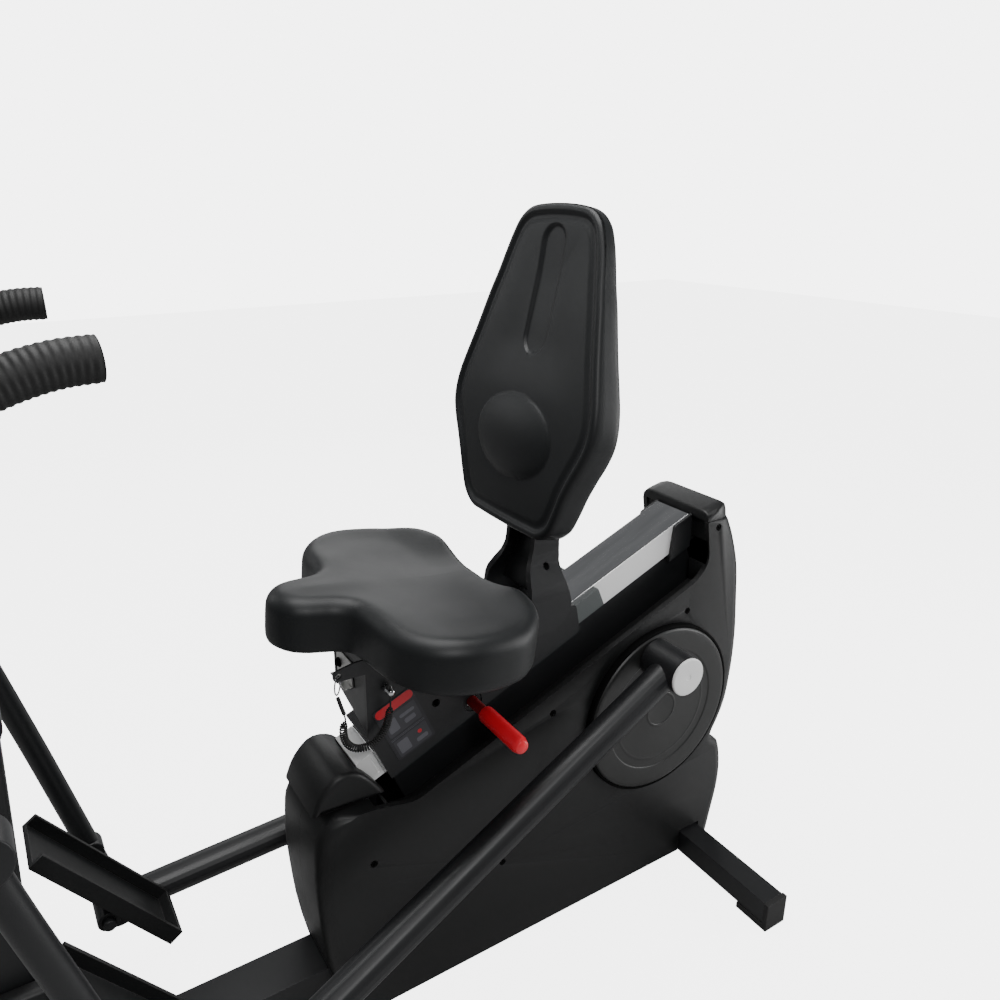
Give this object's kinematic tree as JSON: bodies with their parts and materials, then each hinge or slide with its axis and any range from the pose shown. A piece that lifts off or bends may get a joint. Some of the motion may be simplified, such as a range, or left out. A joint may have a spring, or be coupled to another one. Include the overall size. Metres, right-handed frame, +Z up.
{
  "type": "recumbent exercise bike with swing arms",
  "caption": "Recumbent cross-trainer: saddle seat and backrest sliding on an inclined rail, rear crank discs in a shroud, rods, swing arms and foot plates.",
  "frame": {"origin": "centre of the bounding box at floor level", "axes": "+X forwards, from the backrest to the console; +Y to the rider's left; +Z up"},
  "size_m": [1.4276, 0.62, 1.2816],
  "materials": {
    "satin_black": "satin powder coat",
    "black_plastic": "fine grain moulded texture",
    "soft_black": "soft moulded polyurethane skin, semi-matte",
    "chrome": "mirror chrome plating",
    "brushed_aluminium": "brushed",
    "steel": "turned steel",
    "grey_nylon": "dark grey nylon",
    "zinc": "zinc plated wire",
    "cast_iron": "machined and painted",
    "red_grip": "red vinyl",
    "red_metal": "dark red powder coat",
    "black_rubber": "matte rubber",
    "screen_glass": "dark glossy display window",
    "label_film": "dark laminated film"
  },
  "bodies": {
    "frame": {"seat_rail": "chrome", "rail_base": "satin_black", "rail_end_bracket": "brushed_aluminium", "rail_end_block": "satin_black", "rail_front_post": "satin_black", "main_beam": "satin_black", "rear_stabilizer": "satin_black", "front_stabilizer": "satin_black", "foot_rear_left": "black_rubber", "foot_rear_right": "black_rubber", "foot_front_left": "black_rubber", "foot_front_right": "black_rubber", "drive_frame": "satin_black", "crank_bearing_left": "steel", "crank_bearing_right": "steel", "drive_belt": "black_rubber", "magnet_brake": "steel", "shroud_left": "black_plastic", "shroud_right": "black_plastic", "rear_cap": "black_plastic", "front_hood": "black_plastic", "mast": "satin_black", "mast_cover": "black_plastic", "pivot_shaft": "steel"},
    "crank": {"crank_axle": "steel", "drive_pulley": "cast_iron", "crank_disc_left": "black_plastic", "crank_disc_right": "black_plastic"},
    "flywheel": {"flywheel": "cast_iron", "flywheel_shaft": "steel"},
    "wheels": {"transport_wheels": "black_rubber"},
    "carriage": {"carriage_frame": "satin_black", "glide_block_front": "grey_nylon", "glide_block_rear": "grey_nylon", "seat_pan": "steel", "seat_cushion": "soft_black", "backrest_bracket": "satin_black", "backrest_pad": "soft_black", "backrest_shell": "black_plastic", "seat_label": "label_film", "lanyard_cord": "black_rubber", "lanyard_clip": "black_plastic", "lanyard_ring": "zinc"},
    "lock_lever": {"lock_lever": "red_metal", "lever_grip": "red_grip"},
    "lock_pin": {"lock_pin": "chrome"},
    "arm_left": {"swing_arm_left": "satin_black", "hand_grip_left": "black_rubber"},
    "arm_right": {"swing_arm_right": "satin_black", "hand_grip_right": "black_rubber"},
    "pedal_left": {"pedal_left": "black_plastic"},
    "pedal_right": {"pedal_right": "black_plastic"},
    "rod_left": {"connecting_rod_left": "satin_black", "rod_cap_left": "brushed_aluminium"},
    "rod_right": {"connecting_rod_right": "satin_black", "rod_cap_right": "brushed_aluminium"},
    "console": {"console_housing": "black_plastic", "console_screen": "screen_glass"},
    "console_button": {"console_button": "red_grip"}
  },
  "joints": [
    {"name": "flywheel_spin", "type": "hinge", "parent": "frame", "child": "flywheel", "pos_m": [-0.248, 0, 0.236], "axis": [0, 1, 0], "continuous": true},
    {"name": "crank_spin", "type": "hinge", "parent": "frame", "child": "crank", "pos_m": [-0.51, 0, 0.38], "axis": [0, 1, 0], "continuous": true},
    {"name": "wheels_spin", "type": "hinge", "parent": "frame", "child": "wheels", "pos_m": [0.686, 0, 0.034], "axis": [0, 1, 0], "continuous": true},
    {"name": "seat_slide", "type": "slide", "parent": "frame", "child": "carriage", "axis": [-0.9239, 0, 0.3827], "range_m": [0, 0.15]},
    {"name": "lock_lever_lift", "type": "hinge", "parent": "carriage", "child": "lock_lever", "pos_m": [-0.1402, 0.057, 0.50499], "axis": [0.9239, 0, -0.3827], "range_deg": [0, 12], "stiffness_Nm_per_rad": 3, "springref_deg": -14.32},
    {"name": "lock_pin_pull", "type": "slide", "parent": "carriage", "child": "lock_pin", "axis": [0, 1, 0], "range_m": [0, 0.02], "stiffness_N_per_m": 300, "springref_m": -0.01},
    {"name": "arm_left_swing", "type": "hinge", "parent": "frame", "child": "arm_left", "pos_m": [0.507, 0, 0.69], "axis": [0, 1, 0], "range_deg": [-12, 11]},
    {"name": "arm_right_swing", "type": "hinge", "parent": "frame", "child": "arm_right", "pos_m": [0.507, 0, 0.69], "axis": [0, 1, 0], "range_deg": [-11, 12]},
    {"name": "rod_left_pivot", "type": "hinge", "parent": "arm_left", "child": "rod_left", "pos_m": [0.375, 0.232, 0.139], "axis": [0, 1, 0], "range_deg": [-11, 12]},
    {"name": "rod_right_pivot", "type": "hinge", "parent": "arm_right", "child": "rod_right", "pos_m": [0.3834, -0.232, 0.13706], "axis": [0, 1, 0], "range_deg": [-12, 11]},
    {"name": "pedal_left_pivot", "type": "hinge", "parent": "arm_left", "child": "pedal_left", "pos_m": [0.39643, 0, 0.22847], "axis": [0, 1, 0], "range_deg": [-15, 15]},
    {"name": "pedal_right_pivot", "type": "hinge", "parent": "arm_right", "child": "pedal_right", "pos_m": [0.40347, 0, 0.22684], "axis": [0, 1, 0], "range_deg": [-15, 15]},
    {"name": "console_tilt", "type": "hinge", "parent": "frame", "child": "console", "pos_m": [0.478, 0, 1.12], "axis": [0, 1, 0], "range_deg": [-15, 15]},
    {"name": "console_button_press", "type": "slide", "parent": "console", "child": "console_button", "axis": [0.9063, 0, -0.4226], "range_m": [0, 0.003], "stiffness_N_per_m": 400, "springref_m": -0.001}
  ],
  "couplings": [
    {"joint": "crank_spin", "follows": "flywheel_spin", "ratio": 0.2},
    {"joint": "arm_right_swing", "follows": "arm_left_swing", "ratio": -1},
    {"joint": "rod_left_pivot", "follows": "arm_left_swing", "ratio": -1},
    {"joint": "rod_right_pivot", "follows": "arm_left_swing", "ratio": 1}
  ]
}
